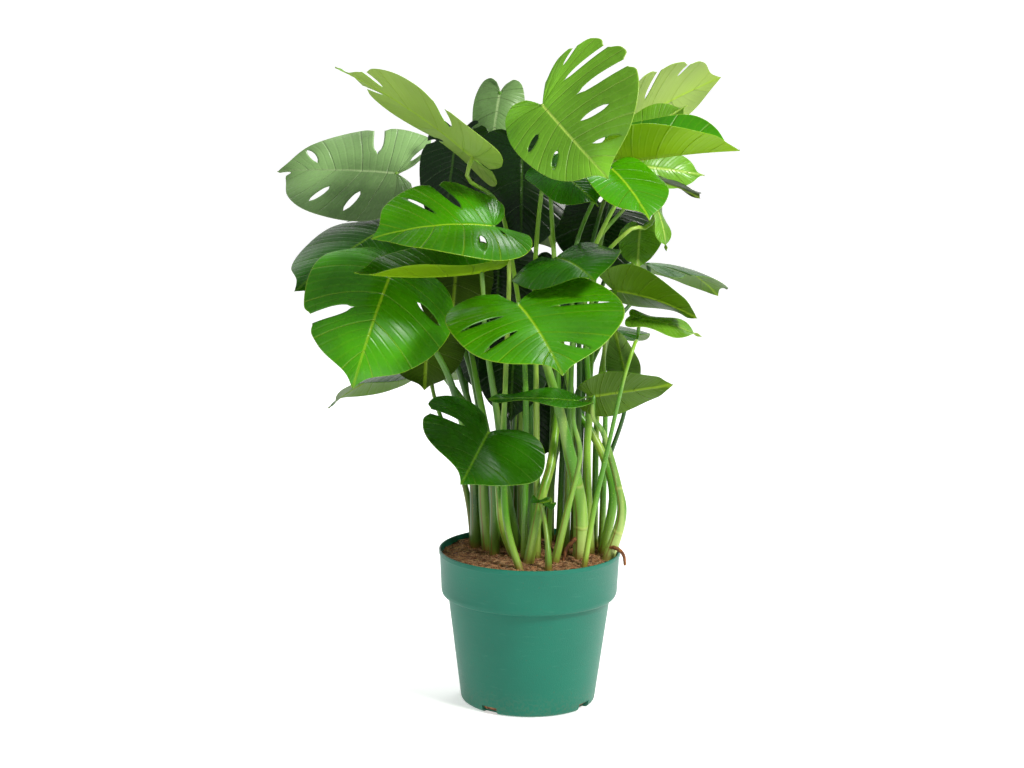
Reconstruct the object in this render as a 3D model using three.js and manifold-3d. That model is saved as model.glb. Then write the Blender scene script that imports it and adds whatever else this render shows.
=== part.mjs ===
// A potted swiss cheese plant, in millimetres, +Z up, -Y to the front.
// The origin is the centre of the pot's base. The pot holds a body of soil, and every leaf is one
// solid, its blade grown on its stalk, which stands in a plain hole of its own in the soil.
import * as THREE from "three";
import { mergeVertices } from "three/addons/utils/BufferGeometryUtils.js";
import Module from "manifold-3d";

const wasm = await Module();
wasm.setup();

// Driving sizes
const GAP = 0.3;
const POT_HEIGHT = 230;
const RIM_RADIUS = 135;
const RIM_BAND = 8;
const COLLAR_HEIGHT = 68;
const COLLAR_RADIUS = 131;
const COLLAR_EDGE = 5;
const NECK_RADIUS = 121;
const FOOT_RADIUS = 101;
const FOOT_ROUND = 8;
const FOOT_BEVEL = 2.5;
const LIP_ROUND = 1.2;
const WALL = 2.4;
const FLOOR = 3;
const POT_SIDES = 36;
const DRAIN_COUNT = 4;
const DRAIN_SIZE = [26, 24, 22];
const DRAIN_TURN = -34;
const SOIL_HEIGHT = 221;
const SOIL_DOME = 3;
const SOIL_LUMP = 1.6;
const SOIL_WAVE = [13, 17];
const SOIL_RINGS = [1, 0.5];
const HOLE_GAP = 0.4;
const BLADE_THICKNESS = 1.1;
const RIB_DEPTH = 1.4;
const STALK_DEPTH = 12;
const STALK_STEP = 110;
const STALK_SIDES = 5;
const STOUT = 7;
const STOUT_SIDES = 7;
const ARRIVAL = 32;
const ROOT_RADII = [3.4, 2.2];
const ROOT_STEPS = 6;

// Colours, roughness
const POT_LOOK = { color: 0x3c9a80, roughness: 0.45 };
const SOIL_LOOK = { color: 0x4a3524, roughness: 0.95 };
const LEAF_LOOK = { color: 0x2f7a22, roughness: 0.35 };

// Half of a leaf's outline from the stalk's notch to the drip tip, for a blade 1 long and 1 wide
const OUTLINE = new THREE.SplineCurve([
  new THREE.Vector2(0.09, -0.14),
  new THREE.Vector2(0.24, -0.2),
  new THREE.Vector2(0.41, -0.14),
  new THREE.Vector2(0.5, 0.06),
  new THREE.Vector2(0.51, 0.32),
  new THREE.Vector2(0.44, 0.6),
  new THREE.Vector2(0.28, 0.81),
  new THREE.Vector2(0.075, 0.93),
  new THREE.Vector2(0, 1.03),
]);

// Side veins leave the midrib from this share of the outline on, and bow towards the tip
const VEIN_START = 0.36;
const VEIN_POWER = 1.15;
const VEIN_BOW = 0.07;

// A cut follows a side vein. It runs between two shares of the vein's length, and its half width is
// a share of the blade's length. A cut that ends at 1 is open at the margin, the others are holes.
// Its rows are where the mesh needs a line across the veins.
const CUTS = {
  s: { from: 0.62, to: 1, half: 0.02, rows: [0.62] },
  d: { from: 0.36, to: 1, half: 0.024, rows: [0.36] },
  w: { from: 0.36, to: 1, half: 0.042, rows: [0.36] },
  h: { from: 0.42, to: 0.82, half: 0.03, rows: [0.42, 0.66, 0.82] },
  l: { from: 0.3, to: 0.86, half: 0.022, rows: [0.3, 0.6, 0.86] },
  m: { from: 0.24, to: 0.6, half: 0.028, rows: [0.24, 0.42, 0.6] },
  o: { from: 0.2, to: 0.44, half: 0.016, rows: [0.2, 0.32, 0.44] },
};
const VEIN_STEPS = 14;
const FIRST_CUT = 3;
const CUT_STEP = 2;
const MOUTH = 0.45;
const NOTCH = 0.07;
const LOBE_REACH = 0.25;
const WAVES = 2.3;

// Where the mesh has lines along the veins, in steps of the outline, and across them
const WIDE_LINES = [0, 2, 4, 6, 9, 12];
const SMALL_LINES = [0, 2, 5, 8, 11];
const CUT_ROWS = [0, 0.36, 0.66, 1];
const WHOLE_ROWS = [0, 0.5, 1];
const SMALL_ROWS = [0, 0.55, 1];
const SMALL_LEAF = 130;

// A leaf's number, the place where its stalk meets the blade, the heading, pitch and roll of the
// blade there, its length and width, and how it bends:
// root is where the stalk stands in the soil, and via are points that the stalk passes,
// droop, curl and fold are degrees that the midrib, the sides and the two halves turn by,
// lobe lifts the two lobes beside the stalk, uneven widens the left half,
// left and right name the cuts of each half in their order along the midrib, a dot for none,
// hold and arrive shape a stalk without via and the way a stalk comes up to the blade,
// thick is the stalk's radius in the soil and at the blade, and aerial are its aerial roots.
function leaf(number, base, turn, length, width, more) {
  const usual = {
    droop: 20, uneven: 0, curl: [-20, -20], fold: [0, 0], lobe: 10, wave: 4, left: "", right: "",
    hold: [0.5, 0.3], arrive: [0.6, 0.1, 1], thick: [5.5, 3], via: null, aerial: [],
  };
  return { name: `leaf_${String(number).padStart(2, "0")}`, base, turn, length, width, ...usual, ...more };
}

const LEAVES = [
  leaf(1, [-88, -60, 813], [168, 39, 26], 228, 186, {
    root: [-8, -36], droop: 16, curl: [0, 0], fold: [4, 5], lobe: 5, left: "..w.d", right: "..s.dd",
    via: [[-10, -38, 500], [-32, -20, 665], [-54, -12, 745]],
  }),
  leaf(2, [-208, 125, 776], [162, 3, -55], 204, 194, {
    root: [-54, 86], droop: 15, curl: [-5, -35], fold: [15, 0], left: "..hh.w", right: "d.w.l.",
    thick: [7.5, 3], via: [[-68, 80, 347], [-88, 80, 470], [-131, 92, 589]],
  }),
  leaf(3, [-118, 95, 829], [-110, -68, 5], 148, 112, {
    root: [-40, 40], droop: 10, curl: [-15, -15], left: "s.s", right: ".s",
  }),
  leaf(4, [-54, 120, 899], [-110, -66, -10], 108, 78, {
    root: [10, 36], droop: 15, curl: [-30, -30], hold: [0.6, 0.25],
  }),
  leaf(5, [9, -90, 888], [-53, -33, 60], 158, 200, {
    root: [12, -30], droop: 12, uneven: 0.32, curl: [-5, -20], fold: [0, 10], lobe: 45, left: "sdwml",
    right: "..hh.", via: [[6, -30, 480], [2, -20, 640], [10, -14, 760], [26, -40, 850]],
  }),
  leaf(6, [133, 135, 849], [35, 26, -52], 186, 185, {
    root: [44, 68], droop: 10, curl: [-15, -15], fold: [5, 5], left: "ddwd", right: "dwds",
    arrive: [0.4, 0.3, 1], via: [[52, 72, 450], [72, 82, 600], [98, 98, 720]],
  }),
  leaf(7, [137, 75, 828], [15, 33, 45], 105, 75, {
    root: [70, 44], droop: 5, curl: [-15, -15], fold: [5, 5], lobe: 5, hold: [0.6, 0.3],
    via: [[76, 46, 450], [92, 54, 640], [114, 66, 740]],
  }),
  leaf(8, [130, -14, 806], [-10, 11, 0], 160, 150, {
    root: [92, 4], droop: 8, curl: [0, 0], fold: [48, 38], lobe: 5, thick: [6.5, 3],
    via: [[87, 6, 291], [83, 8, 376], [85, 8, 448], [78, 8, 640]],
  }),
  leaf(9, [145, 13, 782], [28, -4, 16], 120, 116, {
    root: [74, 20], droop: 25, curl: [-15, -10], fold: [0, 20], lobe: -15, hold: [0.65, 0.25],
    via: [[70, 26, 450], [76, 22, 650]],
  }),
  leaf(10, [106, -90, 802], [-62, -20, 8], 120, 116, {
    root: [54, 8], droop: 25, uneven: 0.1, curl: [-15, -15], fold: [0, 10], lobe: 0,
    via: [[56, 2, 380], [58, -4, 540], [58, -6, 665], [84, -40, 750]],
  }),
  leaf(11, [24, -60, 800], [-42, -22, 20], 95, 95, {
    root: [106, 10], curl: [-15, -15], thick: [7.5, 3],
    via: [[123, 8, 304], [110, 16, 362], [86, 30, 408], [63, 36, 443], [40, 10, 557]],
  }),
  leaf(12, [179, 20, 737], [-30, -65, 0], 62, 42, {
    root: [80, 32], curl: [-10, -10], via: [[84, 44, 420], [88, 30, 520], [90, 22, 640], [138, 8, 705]],
  }),
  leaf(13, [155, 150, 790], [5, -5, 70], 105, 60, {
    root: [42, 96], droop: 15, curl: [-10, -10], left: ".d.", right: ".d", arrive: [0, 0.5, 1],
    via: [[76, 114, 480], [88, 118, 560], [124, 158, 660], [142, 182, 745]],
  }),
  leaf(14, [100, 150, 733], [-80, -60, 0], 115, 150, {
    root: [28, 52], droop: 12, curl: [-10, -10], left: ".h", right: ".h", arrive: [0.3, 0, 1],
  }),
  leaf(15, [-19, 52, 817], [-90, -70, 0], 160, 140, {
    root: [2, -4], droop: 10, left: ".s", right: ".s",
  }),
  leaf(16, [-57, -115, 720], [-150, 8, -25], 178, 200, {
    root: [-10, -96], droop: 26, uneven: -0.05, curl: [-25, -10], fold: [14, 8], lobe: 32, left: ".oh",
    right: "..wl",
    via: [[-34, -76, 288], [-40, -60, 400], [-38, -56, 500], [-35, -46, 650], [-42, -78, 704]],
  }),
  leaf(17, [-73, -102, 655], [-170, -8, -35], 178, 165, {
    root: [-14, 22], droop: -20, uneven: 0.2, curl: [0, -15], fold: [50, 6], lobe: 5, thick: [8.5, 3.2],
    via: [[-29, 14, 277], [-39, 0, 336], [-49, -24, 428], [-67, -66, 552]],
  }),
  leaf(18, [-220, 50, 700], [-135, -20, -25], 178, 180, {
    root: [-68, 64], droop: 15, uneven: -0.1, fold: [-8, -14], lobe: 4, right: ".s", hold: [0.68, 0.25],
    thick: [8, 3], via: [[-78, 66, 349], [-105, 64, 472], [-153, 58, 578]],
  }),
  leaf(19, [-199, -66, 656], [-103, -30, -18], 196, 225, {
    root: [-80, 34], droop: 55, curl: [-30, -35], fold: [-10, 5], lobe: -30, left: "..h", right: "...w",
    thick: [9, 3.2], via: [[-85, 20, 338], [-102, -20, 427], [-121, -72, 502], [-157, -86, 568]],
  }),
  leaf(20, [-112, 12, 653], [-100, -64, 180], 112, 108, {
    root: [-52, -14], droop: -10, curl: [0, 0], arrive: [-0.5, 0, 1], thick: [8, 3],
    via: [[-53, -26, 309], [-60, -34, 385], [-78, -30, 473]],
  }),
  leaf(21, [-152, -30, 553], [-95, -62, 180], 80, 108, {
    root: [-60, 16], droop: -10, curl: [0, 0], arrive: [-0.5, 0, 1], thick: [10.5, 3.2],
    via: [[-69, 16, 293], [-73, 8, 361], [-94, -4, 439]],
  }),
  leaf(22, [-21, -165, 618], [-73, -10, 6], 205, 235, {
    root: [76, -22], droop: 18, uneven: 0.08, curl: [-5, -15], fold: [8, 2], lobe: 20, left: "..l.l",
    right: "..ll", thick: [12.5, 3.6],
    via: [[73, -22, 300], [54, -34, 392], [34, -42, 470], [8, -78, 550]],
    aerial: [[[72, -24, 256], [62, -32, 248], [53, -38, 236], [48, -42, 210]]],
  }),
  leaf(23, [32, -62, 671], [-72, 5, 17], 140, 155, {
    root: [-4, -60], droop: 25, curl: [-30, -35], fold: [10, 8], lobe: 12, arrive: [0.3, 0, 1],
    thick: [8.5, 3.2],
    via: [[13, -54, 304], [21, -44, 336], [30, -24, 367], [38, 8, 438], [37, 4, 543]],
  }),
  leaf(24, [157, 60, 704], [-100, -55, 10], 62, 66, {
    root: [98, 50], droop: 15, via: [[98, 54, 420], [108, 60, 520], [132, 58, 620]],
  }),
  leaf(25, [119, -10, 620], [-6, -6, -32], 124, 140, {
    root: [108, 34], droop: 25, curl: [-5, 0], fold: [15, 5], via: [[110, 34, 420], [106, 28, 520]],
  }),
  leaf(26, [156, 0, 578], [-10, -5, 10], 92, 75, {
    root: [78, -72], curl: [-10, -10], thick: [4.5, 2.6],
    via: [[93, -62, 307], [110, -60, 390], [129, -76, 490], [146, -60, 547]],
  }),
  leaf(27, [139, 60, 485], [110, 50, 180], 75, 52, {
    root: [92, 70], droop: 10, curl: [0, 0],
  }),
  leaf(28, [90, -35, 468], [4, 8, -48], 114, 86, {
    root: [112, -26], droop: 0, curl: [-10, -5], fold: [0, 5], thick: [9.5, 3],
    via: [[134, -28, 285], [128, -28, 335], [106, -33, 410]],
    aerial: [[[116, -28, 240], [124, -37, 242], [132, -44, 240], [138, -49, 233], [140, -51, 220]]],
  }),
  leaf(29, [60, -88, 470], [-168, 7, 0], 122, 80, {
    root: [34, -54], droop: 10, curl: [0, 0], fold: [-2, 8], thick: [6.5, 3],
    via: [[55, -58, 306], [71, -68, 385]],
  }),
  leaf(30, [-61, -120, 428], [-103, -17, -30], 150, 185, {
    root: [-16, -22], droop: 0, curl: [-25, -30], fold: [18, 20], lobe: 25, right: "..w.",
    thick: [7, 3], via: [[-40, -38, 270], [-49, -66, 350], [-56, -92, 397]],
  }),
  leaf(31, [-62, 130, 552], [-92, -80, 0], 118, 118, {
    root: [-30, 92], droop: 8, curl: [-10, -10],
  }),
  leaf(32, [15, -75, 316], [-60, 20, 150], 32, 34, {
    root: [28, -98], droop: 0, curl: [0, 0],
  }),
  leaf(33, [90, 165, 540], [80, 5, 0], 190, 170, {
    root: [20, 92], droop: 45, left: ".d", right: ".s",
  }),
  leaf(34, [-80, 185, 640], [105, -5, 0], 205, 210, {
    root: [-76, 84], droop: 60, left: ".dw", right: ".s",
    via: [[-84, 112, 380], [-100, 148, 440], [-106, 164, 540]],
  }),
  leaf(35, [-155, 110, 480], [165, 0, 10], 175, 175, {
    root: [-86, 50], droop: 45, left: ".s", right: ".ds",
  }),
  leaf(36, [0, 205, 720], [85, 0, -10], 215, 205, {
    root: [0, 72], droop: 45, left: ".dw", right: ".d", via: [[0, 74, 480], [4, 110, 600]],
  }),
  leaf(37, [-40, 190, 842], [95, 10, 0], 195, 195, {
    root: [-14, 52], droop: 40, left: ".dd", right: ".s", hold: [0.68, 0.25],
  }),
  leaf(38, [175, 165, 640], [45, 0, 0], 180, 180, {
    root: [66, 74], droop: 40, left: ".s", right: ".d", hold: [0.7, 0.2],
    via: [[72, 84, 423], [106, 96, 530]],
  }),
  leaf(39, [-26, 32, 532], [-96, -52, 5], 118, 108, {
    root: [-31, 61],
  }),
  leaf(40, [6, 138, 462], [-90, -84, 0], 130, 118, {
    root: [-10, 108], droop: 8,
  }),
  leaf(41, [-52, 60, 660], [-95, -80, 0], 104, 112, {
    root: [-20, 72], droop: 12, arrive: [0.2, 0, 1],
  }),
  leaf(42, [37, 86, 640], [-84, -84, 0], 120, 76, {
    root: [32, 80], droop: 8,
  }),
];

const rad = THREE.MathUtils.degToRad;
const vector = (p) => new THREE.Vector3(...p);

const WELD = 1e-4;
const NIL = 1e-9;
const SMALL_STEP = 1e-3;

// Solids
function toSolid(geometry) {
  const bare = geometry.clone();
  bare.deleteAttribute("normal");
  bare.deleteAttribute("uv");
  const merged = mergeVertices(bare, WELD);
  return new wasm.Manifold(new wasm.Mesh({
    numProp: 3,
    vertProperties: new Float32Array(merged.attributes.position.array),
    triVerts: new Uint32Array(merged.index.array),
  }));
}

function toGeometry(solid) {
  const mesh = solid.getMesh();
  const geometry = new THREE.BufferGeometry();
  geometry.setAttribute("position", new THREE.BufferAttribute(new Float32Array(mesh.vertProperties), 3));
  geometry.setIndex(new THREE.BufferAttribute(new Uint32Array(mesh.triVerts), 1));
  geometry.computeVertexNormals();
  return geometry;
}

// Places on a flat blade
function veinStart(s) {
  return Math.max(0, (s - VEIN_START) / (1 - VEIN_START)) ** VEIN_POWER;
}

function flatPoint(plan, side, s, t) {
  const width = plan.width * (1 - side * plan.uneven);
  const edge = OUTLINE.getPoint(s).multiply(new THREE.Vector2(width, plan.length));
  const start = new THREE.Vector2(0, veinStart(s) * plan.length);
  const across = edge.clone().sub(start);
  const bow = new THREE.Vector2(across.y, -across.x).multiplyScalar(VEIN_BOW);
  const middle = start.clone().add(edge).multiplyScalar(0.5).add(bow);
  return new THREE.QuadraticBezierCurve(start, middle, edge).getPoint(t);
}

function openness(cut, t) {
  const share = (t - cut.from) / (cut.to - cut.from);
  if (share <= 0 || (cut.to < 1 && share >= 1)) return 0;
  if (cut.to < 1) return cut.half * Math.sqrt(4 * share * (1 - share));
  return cut.half * Math.sqrt(1 - (1 - Math.min(1, share / MOUTH)) ** 2);
}

// A place on the bank of a cut: bank is -1 towards the stalk, 1 towards the tip and 0 off a cut
function cutPoint(plan, side, s, t, cut, bank) {
  if (!cut) return flatPoint(plan, side, s, t);
  const pulled = cut.to === 1 && t > cut.from ? t * (1 - NOTCH) : t;
  const point = flatPoint(plan, side, s, pulled);
  const along = flatPoint(plan, side, s + SMALL_STEP, pulled)
    .sub(flatPoint(plan, side, s - SMALL_STEP, pulled));
  return point.addScaledVector(along.normalize(), bank * openness(cut, t) * plan.length);
}

// The blade's bends, from a flat place to one in the leaf's own frame: x right, y ahead, z up
function bend(plan, side, flat, s, t) {
  const i = side < 0 ? 0 : 1;
  const turn = flat.y >= 0 ? -rad(plan.droop) / plan.length : rad(plan.lobe) / (LOBE_REACH * plan.length);
  const angle = turn * flat.y;
  const straight = Math.abs(turn) < NIL;
  const y = straight ? flat.y : Math.sin(angle) / turn;
  const z = straight ? 0 : (1 - Math.cos(angle)) / turn;
  const fold = rad(plan.fold[i]);
  const roll = rad(plan.curl[i]) / (plan.width / 2);
  const level = Math.abs(roll) < NIL;
  const x = level ? flat.x * Math.cos(fold) : (Math.sin(fold + roll * flat.x) - Math.sin(fold)) / roll;
  const rise = level ? flat.x * Math.sin(fold) : (Math.cos(fold) - Math.cos(fold + roll * flat.x)) / roll;
  const lift = rise + plan.wave * t ** 2 * Math.sin(2 * Math.PI * (WAVES * s + side / 4));
  return new THREE.Vector3(x * side, y - Math.sin(angle) * lift, z + Math.cos(angle) * lift);
}

function leafFrame(plan) {
  const [heading, pitch, roll] = plan.turn.map(rad);
  const ahead = new THREE.Vector3(
    Math.cos(heading) * Math.cos(pitch), Math.sin(heading) * Math.cos(pitch), Math.sin(pitch));
  const upright = new THREE.Vector3(
    -Math.cos(heading) * Math.sin(pitch), -Math.sin(heading) * Math.sin(pitch), Math.cos(pitch));
  const level = ahead.clone().cross(upright);
  const up = upright.clone().multiplyScalar(Math.cos(roll)).addScaledVector(level, Math.sin(roll));
  const right = level.clone().multiplyScalar(Math.cos(roll)).addScaledVector(upright, -Math.sin(roll));
  return { right, ahead, up };
}

// Cuts of one half, by the outline step that each follows
function cutsOf(letters) {
  const cuts = new Map();
  [...letters].forEach((letter, i) => {
    if (CUTS[letter]) cuts.set(FIRST_CUT + CUT_STEP * i, CUTS[letter]);
  });
  return cuts;
}

function linesOf(plan, cuts, others) {
  const steps = new Set(plan.length < SMALL_LEAF && !cuts.size && !others.size ? SMALL_LINES : WIDE_LINES);
  for (const step of cuts.keys()) steps.add(step);
  for (const step of others.keys()) if (step / VEIN_STEPS > VEIN_START) steps.add(step);
  return [...steps].sort((a, b) => a - b);
}

function rowsOf(plan, cuts) {
  if (!cuts.size) return plan.length < SMALL_LEAF ? SMALL_ROWS : WHOLE_ROWS;
  const rows = new Set(CUT_ROWS);
  for (const cut of cuts.values()) cut.rows.forEach((row) => rows.add(row));
  return [...rows].sort((a, b) => a - b);
}

// The blade's middle surface: corners shared where the two halves and the banks of a cut meet
function bladeSurface(plan) {
  const cuts = [cutsOf(plan.left), cutsOf(plan.right)];
  const points = [];
  const ribs = [];
  const triangles = [];
  const known = new Map();
  function corner(key, rib, make) {
    if (!known.has(key)) {
      known.set(key, points.length);
      points.push(make());
      ribs.push(rib);
    }
    return known.get(key);
  }
  for (const side of [-1, 1]) {
    const own = cuts[side < 0 ? 0 : 1];
    const lines = linesOf(plan, own, cuts[side < 0 ? 1 : 0]);
    const rows = rowsOf(plan, own);
    const place = (step, t, bank) => {
      const s = step / VEIN_STEPS;
      const cut = own.get(step);
      if (t === 0 && s <= VEIN_START) return corner("stalk", 1, () => new THREE.Vector3());
      const open = cut && openness(cut, t) > 0;
      const where = t === 0 ? "rib" : `${side} ${t} ${open ? bank : 0}`;
      const rib = t === 0 ? 1 - s : 0;
      const flat = () => cutPoint(plan, side, s, t, cut, open ? bank : 0);
      return corner(`${where} ${step}`, rib, () => bend(plan, side, flat(), s, t));
    };
    const tip = corner("tip", 0, () => bend(plan, side, flatPoint(plan, side, 1, 1), 1, 0));
    lines.forEach((step, i) => {
      for (let j = 0; j + 1 < rows.length; j += 1) {
        const inner = place(step, rows[j], 1);
        const outer = place(step, rows[j + 1], 1);
        const next = lines[i + 1];
        const innerNext = next ? place(next, rows[j], -1) : tip;
        const outerNext = next ? place(next, rows[j + 1], -1) : tip;
        for (const [a, b, c] of [[inner, outer, outerNext], [inner, outerNext, innerNext]]) {
          if (a === b || b === c || c === a) continue;
          triangles.push(side > 0 ? [a, b, c] : [c, b, a]);
        }
      }
    });
  }
  return { points, ribs, triangles };
}

// The middle surface thickened, with walls round its margin and its holes
function bladeGeometry(plan) {
  const { points, ribs, triangles } = bladeSurface(plan);
  const ups = points.map(() => new THREE.Vector3());
  const edges = new Set();
  for (const [a, b, c] of triangles) {
    const up = points[b].clone().sub(points[a]).cross(points[c].clone().sub(points[a]));
    for (const corner of [a, b, c]) ups[corner].add(up);
    for (const edge of [`${a} ${b}`, `${b} ${c}`, `${c} ${a}`]) edges.add(edge);
  }
  const count = points.length;
  const position = [];
  const half = BLADE_THICKNESS / 2;
  ups.forEach((up) => up.normalize());
  points.forEach((p, i) => position.push(...p.clone().addScaledVector(ups[i], half)));
  points.forEach((p, i) => position.push(...p.clone().addScaledVector(ups[i], -half - RIB_DEPTH * ribs[i])));
  const index = [];
  for (const [a, b, c] of triangles) index.push(a, b, c, c + count, b + count, a + count);
  for (const edge of edges) {
    const [a, b] = edge.split(" ").map(Number);
    if (!edges.has(`${b} ${a}`)) index.push(b, a, a + count, b, a + count, b + count);
  }
  const geometry = new THREE.BufferGeometry();
  geometry.setAttribute("position", new THREE.Float32BufferAttribute(position, 3));
  geometry.setIndex(index);
  const { right, ahead, up } = leafFrame(plan);
  geometry.applyMatrix4(new THREE.Matrix4().makeBasis(right, ahead, up));
  geometry.translate(...plan.base);
  return geometry;
}

// Stalks and roots: a many-sided section swept along a curve, with its radius eased along it
function taperedTube(curve, steps, sides, radiusAt, spare = 0) {
  const section = new THREE.Shape();
  for (let i = 0; i < sides; i += 1) {
    const angle = (2 * Math.PI * i) / sides;
    section[i ? "lineTo" : "moveTo"](Math.cos(angle), Math.sin(angle));
  }
  section.closePath();
  const geometry = new THREE.ExtrudeGeometry(section, { steps, extrudePath: curve, bevelEnabled: false });
  const centres = curve.getSpacedPoints(steps);
  const position = geometry.attributes.position;
  const point = new THREE.Vector3();
  for (let i = 0; i < position.count; i += 1) {
    point.fromBufferAttribute(position, i);
    const gaps = centres.map((centre) => centre.distanceTo(point));
    const nearest = gaps.indexOf(Math.min(...gaps));
    point.sub(centres[nearest]).multiplyScalar(radiusAt(nearest / steps) + spare).add(centres[nearest]);
    if (nearest === 0) point.z -= spare;
    position.setXYZ(i, point.x, point.y, point.z);
  }
  return geometry;
}

function stalkCurve(plan) {
  const { ahead, up } = leafFrame(plan);
  const foot = new THREE.Vector3(...plan.root, SOIL_HEIGHT - STALK_DEPTH);
  const base = vector(plan.base);
  const [byUp, byAhead, byRise] = plan.arrive;
  const arrival = up.multiplyScalar(byUp).addScaledVector(ahead, byAhead);
  arrival.z += byRise;
  arrival.normalize();
  if (plan.via) {
    const before = base.clone().addScaledVector(arrival, -ARRIVAL);
    const stops = [foot, ...plan.via.map(vector), before, base];
    return new THREE.CatmullRomCurve3(stops, false, "catmullrom", 0.5);
  }
  const reach = base.distanceTo(foot);
  const above = foot.clone();
  above.z += reach * plan.hold[0];
  const below = base.clone().addScaledVector(arrival, -reach * plan.hold[1]);
  return new THREE.CubicBezierCurve3(foot, above, below, base);
}

function stalkTube(plan, spare = 0) {
  const [low, high] = plan.thick;
  const curve = stalkCurve(plan);
  const steps = Math.round(curve.getLength() / STALK_STEP) + 2;
  const sides = low > STOUT ? STOUT_SIDES : STALK_SIDES;
  return taperedTube(curve, steps, sides, (u) => low + (high - low) * u, spare);
}

function aerialTube(points, spare = 0) {
  const curve = new THREE.CatmullRomCurve3(points.map(vector));
  const [thick, thin] = ROOT_RADII;
  return taperedTube(curve, ROOT_STEPS, STALK_SIDES, (u) => thick + (thin - thick) * u, spare);
}

function leafMesh(plan) {
  let solid = toSolid(bladeGeometry(plan)).add(toSolid(stalkTube(plan)));
  for (const points of plan.aerial) solid = solid.add(toSolid(aerialTube(points)));
  const foot = new THREE.Vector3(...plan.root, SOIL_HEIGHT);
  const geometry = toGeometry(solid).translate(-foot.x, -foot.y, -foot.z);
  const mesh = new THREE.Mesh(geometry, new THREE.MeshStandardMaterial(LEAF_LOOK));
  mesh.name = plan.name;
  mesh.position.copy(foot);
  return mesh;
}

// The pot: a turned wall with a collar and a lip, and drain gaps cut into its bottom edge
const COLLAR_LOW = POT_HEIGHT - COLLAR_HEIGHT;
const INSIDE = [
  [RIM_RADIUS - WALL, POT_HEIGHT - 1],
  [COLLAR_RADIUS - WALL, COLLAR_LOW + COLLAR_EDGE],
  [NECK_RADIUS - WALL, COLLAR_LOW - 4],
  [FOOT_RADIUS - WALL, FOOT_ROUND + 2],
  [FOOT_RADIUS - FOOT_ROUND - 1, FLOOR],
];

function insideRadius(z) {
  const [[topRadius, top], [lowRadius, low]] = INSIDE;
  return lowRadius + ((topRadius - lowRadius) * (z - low)) / (top - low);
}

function turned(profile) {
  const geometry = new THREE.LatheGeometry(profile.map(([r, z]) => new THREE.Vector2(r, z)), POT_SIDES);
  return geometry.rotateX(Math.PI / 2);
}

function potMesh() {
  const outside = [
    [0, 0],
    [FOOT_RADIUS - FOOT_ROUND, 0],
    [FOOT_RADIUS - FOOT_BEVEL, FOOT_BEVEL],
    [FOOT_RADIUS, FOOT_ROUND],
    [NECK_RADIUS, COLLAR_LOW - 1],
    [COLLAR_RADIUS - 4, COLLAR_LOW],
    [COLLAR_RADIUS, COLLAR_LOW + COLLAR_EDGE],
    [RIM_RADIUS - 1.4, POT_HEIGHT - RIM_BAND],
    [RIM_RADIUS, POT_HEIGHT - RIM_BAND + 1],
    [RIM_RADIUS, POT_HEIGHT - LIP_ROUND],
    [RIM_RADIUS - LIP_ROUND, POT_HEIGHT],
  ];
  let solid = toSolid(turned([...outside, ...INSIDE, [0, FLOOR]]));
  for (let i = 0; i < DRAIN_COUNT; i += 1) {
    const drain = new THREE.BoxGeometry(...DRAIN_SIZE);
    drain.translate(0, -FOOT_RADIUS, 0);
    drain.rotateZ(rad(DRAIN_TURN) + (2 * Math.PI * i) / DRAIN_COUNT);
    solid = solid.subtract(toSolid(drain));
  }
  const mesh = new THREE.Mesh(toGeometry(solid), new THREE.MeshStandardMaterial(POT_LOOK));
  mesh.name = "pot";
  return mesh;
}

// The soil fills the pot to its surface, which is a little domed and lumpy
function soilMesh() {
  const edge = insideRadius(SOIL_HEIGHT) - GAP;
  const surface = SOIL_RINGS.map((share) => [edge * share, SOIL_HEIGHT]);
  const fill = INSIDE.slice(1).map(([r, z]) => [r - GAP, z + GAP]);
  const geometry = turned([[0, FLOOR + GAP], ...fill.reverse(), ...surface, [0, SOIL_HEIGHT]]);
  const position = geometry.attributes.position;
  for (let i = 0; i < position.count; i += 1) {
    const x = position.getX(i);
    const y = position.getY(i);
    if (position.getZ(i) < SOIL_HEIGHT - 1) continue;
    const dome = SOIL_DOME * (1 - Math.hypot(x, y) / edge);
    const lump = SOIL_LUMP * Math.sin(x / SOIL_WAVE[0]) * Math.cos(y / SOIL_WAVE[1]);
    position.setZ(i, SOIL_HEIGHT + dome + lump);
  }
  let solid = toSolid(geometry);
  for (const plan of LEAVES) {
    solid = solid.subtract(toSolid(stalkTube(plan, HOLE_GAP)));
    for (const points of plan.aerial) solid = solid.subtract(toSolid(aerialTube(points, HOLE_GAP)));
  }
  const mesh = new THREE.Mesh(toGeometry(solid), new THREE.MeshStandardMaterial(SOIL_LOOK));
  mesh.name = "soil";
  return mesh;
}

const plant = new THREE.Group();
plant.add(potMesh(), soilMesh(), ...LEAVES.map(leafMesh));

export default plant;
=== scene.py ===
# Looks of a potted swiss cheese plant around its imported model.
# The plant's sizes are in millimetres, as in its source, and meshes and the stage in metres.
import math
import random

import bpy
import bmesh
import numpy as np
from mathutils import Matrix, Vector, noise


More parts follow.
